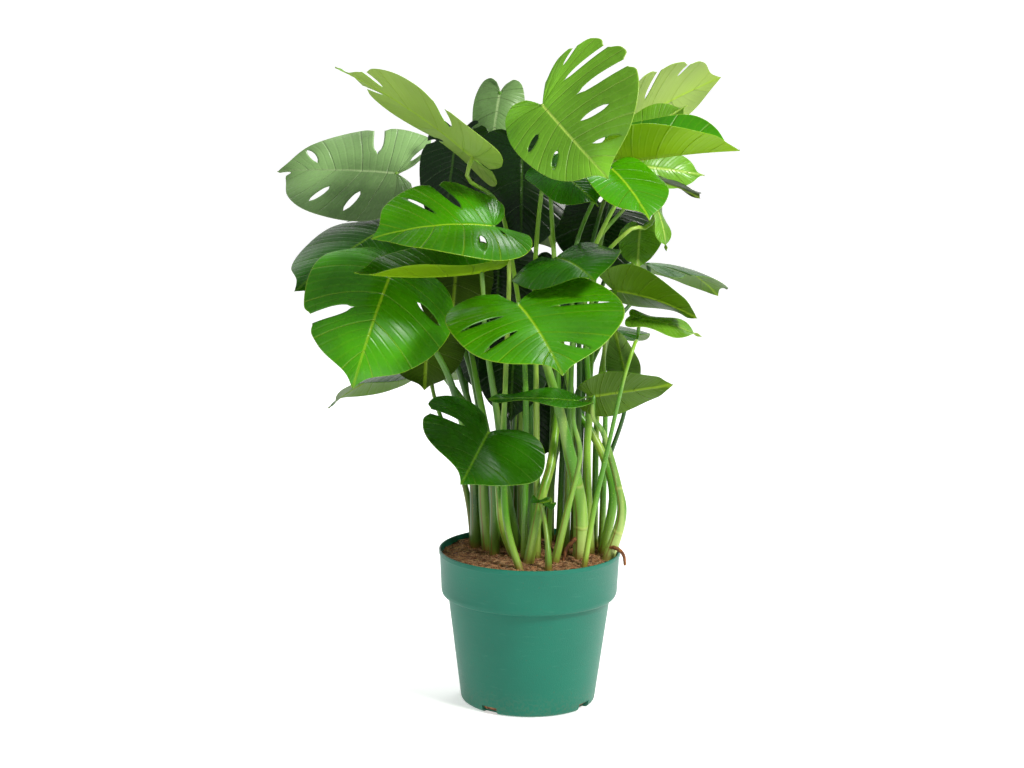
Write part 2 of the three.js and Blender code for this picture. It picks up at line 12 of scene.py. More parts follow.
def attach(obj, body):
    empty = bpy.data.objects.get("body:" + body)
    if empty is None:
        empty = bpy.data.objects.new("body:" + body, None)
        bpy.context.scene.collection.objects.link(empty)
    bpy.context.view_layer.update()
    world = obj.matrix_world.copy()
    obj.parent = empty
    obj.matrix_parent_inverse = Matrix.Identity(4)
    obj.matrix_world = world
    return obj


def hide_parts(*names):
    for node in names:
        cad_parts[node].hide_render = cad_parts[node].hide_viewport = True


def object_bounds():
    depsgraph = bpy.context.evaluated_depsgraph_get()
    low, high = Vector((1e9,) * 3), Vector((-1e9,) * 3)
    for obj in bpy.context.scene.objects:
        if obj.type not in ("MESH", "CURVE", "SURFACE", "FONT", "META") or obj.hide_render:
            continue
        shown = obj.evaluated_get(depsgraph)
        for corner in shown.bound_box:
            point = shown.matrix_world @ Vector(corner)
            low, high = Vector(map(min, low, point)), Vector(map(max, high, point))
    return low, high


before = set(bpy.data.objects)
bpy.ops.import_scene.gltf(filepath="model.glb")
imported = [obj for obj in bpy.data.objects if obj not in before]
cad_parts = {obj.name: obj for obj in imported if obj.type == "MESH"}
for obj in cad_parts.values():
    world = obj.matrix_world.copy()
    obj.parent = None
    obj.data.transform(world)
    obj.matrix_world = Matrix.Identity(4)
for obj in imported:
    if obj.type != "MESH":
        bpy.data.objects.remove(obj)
CAD_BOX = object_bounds()

MM = 0.001
SEED = 7
TINY = 1e-6
INSET = 0.1

# Camera
CAMERA_PLACE = (0, -3.0, 0.983)
CAMERA_PITCH = 9.56
CAMERA_YAW = 0.56
CAMERA_ROLL = 0.7
FOCAL_PIXELS = 2070
FRAME_PIXELS = 1024
SENSOR_MM = 36

# Pot and soil
POT_HEIGHT = 230
RIM_RADIUS = 135
RIM_BAND = 8
COLLAR_HEIGHT = 68
COLLAR_RADIUS = 131
NECK_RADIUS = 121
FOOT_RADIUS = 101
FOOT_ROUND = 8
WALL = 2.4
FLOOR = 3
COLLAR_LOW = POT_HEIGHT - COLLAR_HEIGHT
DRAIN_COUNT = 4
DRAIN_SIZE = (26, 24, 22)
DRAIN_TURN = -34
SOIL_HEIGHT = 221
SOIL_DOME = 3

# Leaves
BLADE_THICKNESS = 0.7
STALK_DEPTH = 12
ARRIVAL = 32
ROOT_RADII = (3.4, 2.2)
OUTLINE = np.array([
    (0.09, -0.14), (0.24, -0.2), (0.41, -0.14), (0.5, 0.06), (0.51, 0.32),
    (0.44, 0.6), (0.28, 0.81), (0.075, 0.93), (0, 1.03),
])
VEIN_START = 0.36
VEIN_POWER = 1.15
VEIN_BOW = 0.07
VEIN_STEPS = 14
FIRST_CUT = 3
CUT_STEP = 2
MOUTH = 0.45
LOBE_REACH = 0.25
WAVES = 2.3

# A cut follows a side vein: where it starts and ends along the vein, and its half width as a
# share of the blade's length. One that ends at 1 is open at the margin, the others are holes.
CUTS = {
    "s": (0.62, 1, 0.02),
    "d": (0.36, 1, 0.024),
    "w": (0.36, 1, 0.042),
    "h": (0.42, 0.82, 0.03),
    "l": (0.3, 0.86, 0.022),
    "m": (0.24, 0.6, 0.028),
    "o": (0.2, 0.44, 0.016),
}


def leaf(number, base, turn, length, width, **more):
    """A leaf's place and bends, as in the model's source."""
    usual = dict(droop=20, uneven=0, curl=(-20, -20), fold=(0, 0), lobe=10, wave=4, left="", right="",
                 hold=(0.5, 0.3), arrive=(0.6, 0.1, 1), thick=(5.5, 3), via=None, aerial=())
    plan = dict(number=number, node=f"leaf_{number:02d}", base=base, turn=turn, length=length, width=width)
    return {**plan, **usual, **more}


LEAVES = [
    leaf(1, (-88, -60, 813), (168, 39, 26), 228, 186,
         root=(-8, -36), droop=16, curl=(0, 0), fold=(4, 5), lobe=5, left="..w.d", right="..s.dd",
         via=[(-10, -38, 500), (-32, -20, 665), (-54, -12, 745)]),
    leaf(2, (-208, 125, 776), (162, 3, -55), 204, 194,
         root=(-54, 86), droop=15, curl=(-5, -35), fold=(15, 0), left="..hh.w", right="d.w.l.",
         thick=(7.5, 3), via=[(-68, 80, 347), (-88, 80, 470), (-131, 92, 589)]),
    leaf(3, (-118, 95, 829), (-110, -68, 5), 148, 112,
         root=(-40, 40), droop=10, curl=(-15, -15), left="s.s", right=".s"),
    leaf(4, (-54, 120, 899), (-110, -66, -10), 108, 78,
         root=(10, 36), droop=15, curl=(-30, -30), hold=(0.6, 0.25)),
    leaf(5, (9, -90, 888), (-53, -33, 60), 158, 200,
         root=(12, -30), droop=12, uneven=0.32, curl=(-5, -20), fold=(0, 10), lobe=45, left="sdwml",
         right="..hh.", via=[(6, -30, 480), (2, -20, 640), (10, -14, 760), (26, -40, 850)]),
    leaf(6, (133, 135, 849), (35, 26, -52), 186, 185,
         root=(44, 68), droop=10, curl=(-15, -15), fold=(5, 5), left="ddwd", right="dwds",
         arrive=(0.4, 0.3, 1), via=[(52, 72, 450), (72, 82, 600), (98, 98, 720)]),
    leaf(7, (137, 75, 828), (15, 33, 45), 105, 75,
         root=(70, 44), droop=5, curl=(-15, -15), fold=(5, 5), lobe=5, hold=(0.6, 0.3),
         via=[(76, 46, 450), (92, 54, 640), (114, 66, 740)]),
    leaf(8, (130, -14, 806), (-10, 11, 0), 160, 150,
         root=(92, 4), droop=8, curl=(0, 0), fold=(48, 38), lobe=5, thick=(6.5, 3),
         via=[(87, 6, 291), (83, 8, 376), (85, 8, 448), (78, 8, 640)]),
    leaf(9, (145, 13, 782), (28, -4, 16), 120, 116,
         root=(74, 20), droop=25, curl=(-15, -10), fold=(0, 20), lobe=-15, hold=(0.65, 0.25),
         via=[(70, 26, 450), (76, 22, 650)]),
    leaf(10, (106, -90, 802), (-62, -20, 8), 120, 116,
         root=(54, 8), droop=25, uneven=0.1, curl=(-15, -15), fold=(0, 10), lobe=0,
         via=[(56, 2, 380), (58, -4, 540), (58, -6, 665), (84, -40, 750)]),
    leaf(11, (24, -60, 800), (-42, -22, 20), 95, 95,
         root=(106, 10), curl=(-15, -15), thick=(7.5, 3),
         via=[(123, 8, 304), (110, 16, 362), (86, 30, 408), (63, 36, 443), (40, 10, 557)]),
    leaf(12, (179, 20, 737), (-30, -65, 0), 62, 42,
         root=(80, 32), curl=(-10, -10),
         via=[(84, 44, 420), (88, 30, 520), (90, 22, 640), (138, 8, 705)]),
    leaf(13, (155, 150, 790), (5, -5, 70), 105, 60,
         root=(42, 96), droop=15, curl=(-10, -10), left=".d.", right=".d", arrive=(0, 0.5, 1),
         via=[(76, 114, 480), (88, 118, 560), (124, 158, 660), (142, 182, 745)]),
    leaf(14, (100, 150, 733), (-80, -60, 0), 115, 150,
         root=(28, 52), droop=12, curl=(-10, -10), left=".h", right=".h", arrive=(0.3, 0, 1)),
    leaf(15, (-19, 52, 817), (-90, -70, 0), 160, 140,
         root=(2, -4), droop=10, left=".s", right=".s"),
    leaf(16, (-57, -115, 720), (-150, 8, -25), 178, 200,
         root=(-10, -96), droop=26, uneven=-0.05, curl=(-25, -10), fold=(14, 8), lobe=32, left=".oh",
         right="..wl",
         via=[(-34, -76, 288), (-40, -60, 400), (-38, -56, 500), (-35, -46, 650), (-42, -78, 704)]),
    leaf(17, (-73, -102, 655), (-170, -8, -35), 178, 165,
         root=(-14, 22), droop=-20, uneven=0.2, curl=(0, -15), fold=(50, 6), lobe=5, thick=(8.5, 3.2),
         via=[(-29, 14, 277), (-39, 0, 336), (-49, -24, 428), (-67, -66, 552)]),
    leaf(18, (-220, 50, 700), (-135, -20, -25), 178, 180,
         root=(-68, 64), droop=15, uneven=-0.1, fold=(-8, -14), lobe=4, right=".s", hold=(0.68, 0.25),
         thick=(8, 3), via=[(-78, 66, 349), (-105, 64, 472), (-153, 58, 578)]),
    leaf(19, (-199, -66, 656), (-103, -30, -18), 196, 225,
         root=(-80, 34), droop=55, curl=(-30, -35), fold=(-10, 5), lobe=-30, left="..h", right="...w",
         thick=(9, 3.2), via=[(-85, 20, 338), (-102, -20, 427), (-121, -72, 502), (-157, -86, 568)]),
    leaf(20, (-112, 12, 653), (-100, -64, 180), 112, 108,
         root=(-52, -14), droop=-10, curl=(0, 0), arrive=(-0.5, 0, 1), thick=(8, 3),
         via=[(-53, -26, 309), (-60, -34, 385), (-78, -30, 473)]),
    leaf(21, (-152, -30, 553), (-95, -62, 180), 80, 108,
         root=(-60, 16), droop=-10, curl=(0, 0), arrive=(-0.5, 0, 1), thick=(10.5, 3.2),
         via=[(-69, 16, 293), (-73, 8, 361), (-94, -4, 439)]),
    leaf(22, (-21, -165, 618), (-73, -10, 6), 205, 235,
         root=(76, -22), droop=18, uneven=0.08, curl=(-5, -15), fold=(8, 2), lobe=20, left="..l.l",
         right="..ll", thick=(12.5, 3.6),
         via=[(73, -22, 300), (54, -34, 392), (34, -42, 470), (8, -78, 550)],
         aerial=[[(72, -24, 256), (62, -32, 248), (53, -38, 236), (48, -42, 210)]]),
    leaf(23, (32, -62, 671), (-72, 5, 17), 140, 155,
         root=(-4, -60), droop=25, curl=(-30, -35), fold=(10, 8), lobe=12, arrive=(0.3, 0, 1),
         thick=(8.5, 3.2),
         via=[(13, -54, 304), (21, -44, 336), (30, -24, 367), (38, 8, 438), (37, 4, 543)]),
    leaf(24, (157, 60, 704), (-100, -55, 10), 62, 66,
         root=(98, 50), droop=15, via=[(98, 54, 420), (108, 60, 520), (132, 58, 620)]),
    leaf(25, (119, -10, 620), (-6, -6, -32), 124, 140,
         root=(108, 34), droop=25, curl=(-5, 0), fold=(15, 5), via=[(110, 34, 420), (106, 28, 520)]),
    leaf(26, (156, 0, 578), (-10, -5, 10), 92, 75,
         root=(78, -72), curl=(-10, -10), thick=(4.5, 2.6),
         via=[(93, -62, 307), (110, -60, 390), (129, -76, 490), (146, -60, 547)]),
    leaf(27, (139, 60, 485), (110, 50, 180), 75, 52,
         root=(92, 70), droop=10, curl=(0, 0)),
    leaf(28, (90, -35, 468), (4, 8, -48), 114, 86,
         root=(112, -26), droop=0, curl=(-10, -5), fold=(0, 5), thick=(9.5, 3),
         via=[(134, -28, 285), (128, -28, 335), (106, -33, 410)],
         aerial=[[(116, -28, 240), (124, -37, 242), (132, -44, 240), (138, -49, 233), (140, -51, 220)]]),
    leaf(29, (60, -88, 470), (-168, 7, 0), 122, 80,
         root=(34, -54), droop=10, curl=(0, 0), fold=(-2, 8), thick=(6.5, 3),
         via=[(55, -58, 306), (71, -68, 385)]),
    leaf(30, (-61, -120, 428), (-103, -17, -30), 150, 185,
         root=(-16, -22), droop=0, curl=(-25, -30), fold=(18, 20), lobe=25, right="..w.", thick=(7, 3),
         via=[(-40, -38, 270), (-49, -66, 350), (-56, -92, 397)]),
    leaf(31, (-62, 130, 552), (-92, -80, 0), 118, 118,
         root=(-30, 92), droop=8, curl=(-10, -10)),
    leaf(32, (15, -75, 316), (-60, 20, 150), 32, 34,
         root=(28, -98), droop=0, curl=(0, 0)),
    leaf(33, (90, 165, 540), (80, 5, 0), 190, 170,
         root=(20, 92), droop=45, left=".d", right=".s"),
    leaf(34, (-80, 185, 640), (105, -5, 0), 205, 210,
         root=(-76, 84), droop=60, left=".dw", right=".s",
         via=[(-84, 112, 380), (-100, 148, 440), (-106, 164, 540)]),
    leaf(35, (-155, 110, 480), (165, 0, 10), 175, 175,
         root=(-86, 50), droop=45, left=".s", right=".ds"),
    leaf(36, (0, 205, 720), (85, 0, -10), 215, 205,
         root=(0, 72), droop=45, left=".dw", right=".d", via=[(0, 74, 480), (4, 110, 600)]),
    leaf(37, (-40, 190, 842), (95, 10, 0), 195, 195,
         root=(-14, 52), droop=40, left=".dd", right=".s", hold=(0.68, 0.25)),
    leaf(38, (175, 165, 640), (45, 0, 0), 180, 180,
         root=(66, 74), droop=40, left=".s", right=".d", hold=(0.7, 0.2),
         via=[(72, 84, 423), (106, 96, 530)]),
    leaf(39, (-26, 32, 532), (-96, -52, 5), 118, 108,
         root=(-31, 61)),
    leaf(40, (6, 138, 462), (-90, -84, 0), 130, 118,
         root=(-10, 108), droop=8),
    leaf(41, (-52, 60, 660), (-95, -80, 0), 104, 112,
         root=(-20, 72), droop=12, arrive=(0.2, 0, 1)),
    leaf(42, (37, 86, 640), (-84, -84, 0), 120, 76,
         root=(32, 80), droop=8),
]

# The tone of each leaf, from five: young and bright, grown, deep, grey and pale.
# Pale is partly paler leaves and partly painted light on the highest, most lit leaves.
# Grey paints a greyish sheen of reflected light on the upper face.
# Deep is partly old dark leaves and partly painted shade on leaves inside, under and behind the plant.
TONES = {
    "bright": (8, 10, 16, 17, 19, 22),
    "pale": (1, 5, 6, 7, 12, 13, 24, 26),
    "grey": (2, 4, 27),
    "deep": (3, 9, 14, 15, 20, 21, 31, 36, 37, 39, 40, 41, 42),
}


def tone_of(number):
    return next((tone for tone, numbers in TONES.items() if number in numbers), "grown")


STEMS = (22, 28)
LIT_STALKS = (1, 5, 8, 11, 12, 16, 23, 24, 25, 26, 29, 30)


def stalk_kind_of(number):
    if number in STEMS:
        return "stem"
    return "lit" if number in LIT_STALKS else "shaded"


# Flat blade

def eased_span(a, b, start, end, w):
    """A cubic from a to b with the slopes start and end, w from 0 to 1."""
    return (2 * a - 2 * b + start + end) * w**3 + (3 * b - 3 * a - 2 * start - end) * w**2 + start * w + a


def spline(points, u):
    """Uniform Catmull-Rom curve through points, u from 0 to 1, its first and last span eased."""
    last = len(points) - 1
    span = np.clip(u, 0, 1) * last
    i = np.minimum(span.astype(int), last - 1)
    w = (span - i)[..., None]
    before, a, b = points[np.maximum(i - 1, 0)], points[i], points[i + 1]
    after = points[np.minimum(i + 2, last)]
    start, end = (b - before) / 2, (after - a) / 2
    return eased_span(a, b, start, end, w)


def vein_start(s):
    return np.clip((s - VEIN_START) / (1 - VEIN_START), 0, 1) ** VEIN_POWER


def flat_place(plan, side, s, t):
    """Places in the blade's plane: s runs along the outline, t from the midrib to the margin."""
    width = plan["width"] * (1 - side * plan["uneven"])
    edge = spline(OUTLINE, s) * (width, plan["length"])
    start = np.stack([np.zeros_like(s), vein_start(s) * plan["length"]], -1)
    across = edge - start
    middle = (start + edge) / 2 + VEIN_BOW * np.stack([across[..., 1], -across[..., 0]], -1)
    t = t[..., None]
    return (1 - t) ** 2 * start + 2 * t * (1 - t) * middle + t**2 * edge


def openness(kind, t):
    start, end, half = CUTS[kind]
    share = np.clip((t - start) / (end - start), 0, 1)
    if end < 1:
        return half * np.sqrt(4 * share * (1 - share))
    return half * np.sqrt(1 - (1 - np.minimum(1, share / MOUTH)) ** 2)


def ease(low, high, value):
    share = np.clip((value - low) / (high - low), 0, 1)
    return share * share * (3 - 2 * share)


NOTCH = 0.08
NOTCH_REACH = 0.38


def cut_place(plan, side, s, t, bank, cuts):
    """Flat places with the cuts opened: bank is -1 or 1 on the two edges of a cut, else 0."""
    step = 1 / VEIN_STEPS
    for at, kind in cuts.items():
        if CUTS[kind][1] == 1:
            near = np.exp(-(((s - at) / (NOTCH_REACH * step)) ** 2))
            t = t * (1 - NOTCH * near * ease(0.55, 1, t))
    place = flat_place(plan, side, s, t)
    small = 1e-3
    beyond = flat_place(plan, side, np.clip(s + small, 0, 1), t)
    along = beyond - flat_place(plan, side, np.clip(s - small, 0, 1), t)
    along /= np.maximum(np.linalg.norm(along, axis=-1, keepdims=True), 1e-9)
    for at, kind in cuts.items():
        off = s - at
        way = np.where(np.abs(off) < 1e-9, bank, np.sign(off))
        share = np.clip(1 - np.abs(off) / step, 0, 1)
        place = place + (openness(kind, t) * share * way * plan["length"])[..., None] * along
    return place


def bend(plan, side, flat, s, t):
    """From flat places to places in the leaf's own frame: x right, y ahead, z up."""
    i = 0 if side < 0 else 1
    x, y = flat[..., 0], flat[..., 1]
    droop = max(abs(math.radians(plan["droop"])), TINY) * (-1 if plan["droop"] >= 0 else 1)
    lobe = math.radians(plan["lobe"]) or TINY
    turn = np.where(y >= 0, droop / plan["length"], lobe / (LOBE_REACH * plan["length"]))
    angle = turn * y
    ahead, up = np.sin(angle) / turn, (1 - np.cos(angle)) / turn
    fold = math.radians(plan["fold"][i])
    roll = (math.radians(plan["curl"][i]) or TINY) / (plan["width"] / 2)
    across = (np.sin(fold + roll * x) - math.sin(fold)) / roll
    rise = (math.cos(fold) - np.cos(fold + roll * x)) / roll
    lift = rise + plan["wave"] * t**2 * np.sin(2 * math.pi * (WAVES * s + side / 4))
    return np.stack([across * side, ahead - np.sin(angle) * lift, up + np.cos(angle) * lift], -1)


def leaf_frame(plan):
    """The blade's right, ahead and up directions where the stalk meets it."""
    heading, pitch, roll = (math.radians(a) for a in plan["turn"])
    level_ahead = np.array([math.cos(heading), math.sin(heading), 0])
    ahead = level_ahead * math.cos(pitch) + np.array([0, 0, math.sin(pitch)])
    upright = -level_ahead * math.sin(pitch) + np.array([0, 0, math.cos(pitch)])
    level = np.cross(ahead, upright)
    up = upright * math.cos(roll) + level * math.sin(roll)
    right = level * math.cos(roll) - upright * math.sin(roll)
    return right, ahead, up


# Blade mesh

LINES_PER_STEP = 6
ROWS = 20
ROW_POWER = 1.7
SMALL_LEAF = 125
QUILT = 0.006
RIB_WIDTH = 2.4
RIB_DEPTH = 2.6
GROOVE = 0.7
TOP, UNDER, STALK, ROOT = range(4)


def cuts_of(letters):
    return {(FIRST_CUT + CUT_STEP * i) / VEIN_STEPS: c for i, c in enumerate(letters) if c in CUTS}


def quilting(plan, s, t):
    """How far the blade bulges between its side veins."""
    between = (1 - np.cos(2 * math.pi * s * VEIN_STEPS / 2)) / 2
    return QUILT * plan["length"] * (np.sqrt(between + 0.02) - 0.6) * np.sin(math.pi * np.sqrt(t)) ** 0.7


def blade_mesh(plan):
    """Corners, faces, their kinds and their two corner maps of a thin closed blade."""
    per_step = LINES_PER_STEP if plan["length"] >= SMALL_LEAF else LINES_PER_STEP // 2
    count = VEIN_STEPS * per_step
    rows = np.linspace(0, 1, (ROWS if plan["length"] >= SMALL_LEAF else ROWS // 2) + 1) ** ROW_POWER
    rows = np.append(rows[:-1], [0.985, 1]) if rows[-2] < 0.97 else rows
    places, relief, ribs, quads = [], [], [], []
    rib_index = {}

    def add(place, bulge, rib):
        places.append(place)
        relief.append(bulge)
        ribs.append(rib)
        return len(places) - 1

    for side, letters in ((-1, plan["left"]), (1, plan["right"])):
        cuts = cuts_of(letters)
        cut_lines = {round(at * count): kind for at, kind in cuts.items()}
        columns = []
        for line in range(count + 1):
            columns += [(line, -1), (line, 1)] if line in cut_lines else [(line, 0)]
        s = np.array([line / count for line, _ in columns])[:, None] + 0 * rows[None, :]
        t = rows[None, :] + 0 * s
        bank = np.array([b for _, b in columns])[:, None] + 0 * s
        flat = cut_place(plan, side, s, t, bank, cuts)
        bulge = quilting(plan, s, t)
        place = bend(plan, side, flat, s, t)
        across = np.abs(flat[..., 0])
        taper = np.clip(1 - flat[..., 1] / plan["length"], 0, 1)
        rib = np.exp(-((across / (RIB_WIDTH * (0.35 + 0.65 * taper))) ** 2)) * (0.2 + 0.8 * taper)
        index = np.zeros(s.shape, int)
        for c, (line, b) in enumerate(columns):
            for r, row in enumerate(rows):
                if line == count:
                    key = "tip"
                elif r == 0:
                    key = "stalk" if line / count <= VEIN_START else line
                else:
                    key = None
                if key is None and b == 1 and openness(cut_lines[line], np.array(row)) <= 0:
                    index[c, r] = index[c - 1, r]
                elif key is None:
                    index[c, r] = add(place[c, r], bulge[c, r], rib[c, r])
                else:
                    if key not in rib_index:
                        rib_index[key] = add(place[c, -1 if key == "tip" else r], 0, rib[c, r])
                    index[c, r] = rib_index[key]
        for c in range(len(columns) - 1):
            if columns[c][0] == columns[c + 1][0]:
                continue
            for r in range(len(rows) - 1):
                spots = [(c, r), (c, r + 1), (c + 1, r + 1), (c + 1, r)]
                corners = [index[q] for q in spots]
                maps = [(s[q], t[q], flat[q][0] * side, flat[q][1]) for q in spots]
                kept = [k for k in range(4) if corners[k] != corners[k - 1]]
                if len(kept) < 3:
                    continue
                kept = kept if side > 0 else kept[::-1]
                quads.append(([corners[k] for k in kept], [maps[k] for k in kept]))
    return thickened(np.array(places), np.array(relief), np.array(ribs), quads)


def thickened(middle, relief, ribs, quads):
    """The blade's two faces and its edge, from its middle surface."""
    ups = np.zeros_like(middle)
    edges = {}
    for corners, maps in quads:
        p = middle[corners]
        up = sum(np.cross(p[k] - p[0], p[k + 1] - p[0]) for k in range(1, len(p) - 1))
        ups[corners] += up
        for k in range(len(corners)):
            edges[corners[k - 1], corners[k]] = (maps[k - 1], maps[k])
    ups /= np.maximum(np.linalg.norm(ups, axis=1, keepdims=True), 1e-9)
    half = BLADE_THICKNESS / 2
    top = middle + ups * (relief + half - GROOVE * ribs)[:, None]
    under = middle + ups * (relief - half - RIB_DEPTH * ribs)[:, None]
    size = len(middle)
    faces, kinds, corner_maps = [], [], []
    for corners, maps in quads:
        faces += [corners, [c + size for c in reversed(corners)]]
        kinds += [TOP, UNDER]
        corner_maps += [maps, maps[::-1]]
    for (a, b), (map_a, map_b) in edges.items():
        if (b, a) not in edges:
            faces.append([b, a, a + size, b + size])
            kinds.append(TOP)
            corner_maps.append([map_b, map_a, map_a, map_b])
    return np.concatenate([top, under]), faces, kinds, corner_maps


# Stalks and roots

def through(points, count):
    """A smooth curve through points, as count places spaced evenly along it."""
    points = np.array(points, float)
    last = len(points) - 1
    ends = np.concatenate([[2 * points[0] - points[1]], points, [2 * points[-1] - points[-2]]])
    u = np.linspace(0, last, 60 * last)
    i = np.minimum(u.astype(int), last - 1)
    w = (u - i)[:, None]
    before, a, b, after = ends[i], ends[i + 1], ends[i + 2], ends[i + 3]
    start, end = (b - before) / 2, (after - a) / 2
    return evenly(eased_span(a, b, start, end, w), count)


def run_along(places):
    return np.concatenate([[0], np.cumsum(np.linalg.norm(np.diff(places, axis=0), axis=1))])


def evenly(curve, count):
    run = run_along(curve)
    at = np.linspace(0, run[-1], count)
    return np.stack([np.interp(at, run, curve[:, k]) for k in range(3)], -1)


def stalk_places(plan, count):
    """The middle line of a stalk from its foot in the soil to the blade."""
    _, ahead, up = leaf_frame(plan)
    foot = np.array([*plan["root"], SOIL_HEIGHT - STALK_DEPTH], float)
    base = np.array(plan["base"], float)
    by_up, by_ahead, by_rise = plan["arrive"]
    arrival = up * by_up + ahead * by_ahead + np.array([0, 0, by_rise])
    arrival /= np.linalg.norm(arrival)
    if plan["via"]:
        return through([foot, *plan["via"], base - arrival * ARRIVAL, base], count)
    reach = np.linalg.norm(base - foot)
    above = foot + np.array([0, 0, reach * plan["hold"][0]])
    below = base - arrival * reach * plan["hold"][1]
    u = np.linspace(0, 1, 4 * count)[:, None]
    curve = (1 - u) ** 3 * foot + 3 * u * (1 - u) ** 2 * above + 3 * u**2 * (1 - u) * below + u**3 * base
    return evenly(curve, count)


def tube(places, radii, sides):
    """A round tube with domed ends: its corners, faces and maps of length and turn."""
    ahead = np.gradient(places, axis=0)
    ahead /= np.linalg.norm(ahead, axis=1, keepdims=True)
    across = np.cross(ahead[0], (0.3, 1, 0.1))
    rings, maps = [], []
    run = run_along(places)
    domes = [(0.35, -0.9), (0.8, -0.55)]
    stations = [(0, share, back) for share, back in domes]
    stations += [(i, 1, 0) for i in range(len(places))]
    stations += [(len(places) - 1, share, -back) for share, back in reversed(domes)]
    for i, share, back in stations:
        across = across - ahead[i] * (across @ ahead[i])
        across /= np.linalg.norm(across)
        other = np.cross(ahead[i], across)
        angle = np.linspace(0, 2 * math.pi, sides, endpoint=False)[:, None]
        centre = places[i] + ahead[i] * radii[i] * back * 0.6
        rings.append(centre + radii[i] * share * (np.cos(angle) * across + np.sin(angle) * other))
        maps.append(run[i] + radii[i] * back * 0.6)
    faces, corner_maps = [], []
    for k in range(len(rings) - 1):
        for j in range(sides):
            n = (j + 1) % sides
            faces.append([k * sides + j, k * sides + n, (k + 1) * sides + n, (k + 1) * sides + j])
            low, high = j / sides, (j + 1) / sides
            corner_maps.append([(low, maps[k]), (high, maps[k]), (high, maps[k + 1]), (low, maps[k + 1])])
    end = (len(rings) - 1) * sides
    faces.append(list(range(sides))[::-1])
    corner_maps.append([(0, maps[0])] * sides)
    faces.append(list(range(end, end + sides)))
    corner_maps.append([(0, maps[-1])] * sides)
    return np.concatenate(rings), faces, corner_maps


STALK_SIDES = 14
STALK_PLACES = 46
SHEATH_SHARE = 0.45
SHEATH_SWELL = 0.14
KNEE_LENGTH = 26
KNEE_SWELL = 0.16
ROOT_PLACES = 24
ROOT_SIDES = 10


def stalk_radii(plan, run):
    """A stalk's radius along it: thicker in its sheath, and a knee just under the blade."""
    low, high = plan["thick"]
    share = run / run[-1]
    sheath = 1 + SHEATH_SWELL * (1 - ease(SHEATH_SHARE - 0.12, SHEATH_SHARE, share))
    knee = 1 + KNEE_SWELL * ease(run[-1] - KNEE_LENGTH - 6, run[-1] - KNEE_LENGTH, run)
    return (low + (high - low) * share) * sheath / (1 + SHEATH_SWELL) * knee


# Objects

def in_scene(name, data):
    obj = bpy.data.objects.new(name, data)
    bpy.context.scene.collection.objects.link(obj)
    return obj


def mesh_object(name, parts, materials):
    """One object from parts of corners, faces, material numbers and corner maps, in millimetres."""
    corners, faces, kinds, veins, flats = [], [], [], [], []
    start = 0
    for places, part_faces, part_kinds, maps in parts:
        corners.append(places)
        faces += [[c + start for c in face] for face in part_faces]
        kinds += part_kinds
        for corner_maps in maps:
            for m in corner_maps:
                veins.append(m[:2])
                flats.append(m[2:] if len(m) > 2 else (0, 0))
        start += len(places)
    mesh = bpy.data.meshes.new(name)
    mesh.from_pydata((np.concatenate(corners) * MM).tolist(), [], faces)
    mesh.polygons.foreach_set("material_index", kinds)
    mesh.polygons.foreach_set("use_smooth", [True] * len(faces))
    for map_name, values, scale in (("vein", veins, 1), ("flat", flats, MM)):
        layer = mesh.uv_layers.new(name=map_name)
        layer.data.foreach_set("uv", (np.array(values, float) * scale).ravel())
    for material in materials:
        mesh.materials.append(material)
    mesh.update()
    return in_scene(name, mesh)


def leaf_object(plan, materials):
    right, ahead, up = leaf_frame(plan)
    places, faces, kinds, maps = blade_mesh(plan)
    places = places @ np.stack([right, ahead, up]) + np.array(plan["base"], float)
    low, high = (np.array(corner) / MM for corner in CAD_BOX)
    places = np.clip(places, low + INSET, high - INSET)
    parts = [(places, faces, kinds, maps)]
    line = stalk_places(plan, STALK_PLACES)
    run = run_along(line)
    corners, faces, maps = tube(line, stalk_radii(plan, run), STALK_SIDES)
    maps = [[(turn, along / run[-1], turn * 20, along) for turn, along in face] for face in maps]
    parts.append((corners, faces, [STALK] * len(faces), maps))
    for points in plan["aerial"]:
        root = through(points, ROOT_PLACES)
        thick, thin = ROOT_RADII
        corners, faces, maps = tube(root, np.linspace(thick, thin, len(root)), ROOT_SIDES)
        maps = [[(turn, along * MM, turn * 10, along) for turn, along in face] for face in maps]
        parts.append((corners, faces, [ROOT] * len(faces), maps))
    obj = mesh_object(f"{plan['node']}_grown", parts, materials)
    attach(obj, "root")
    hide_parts(plan["node"])


# Materials

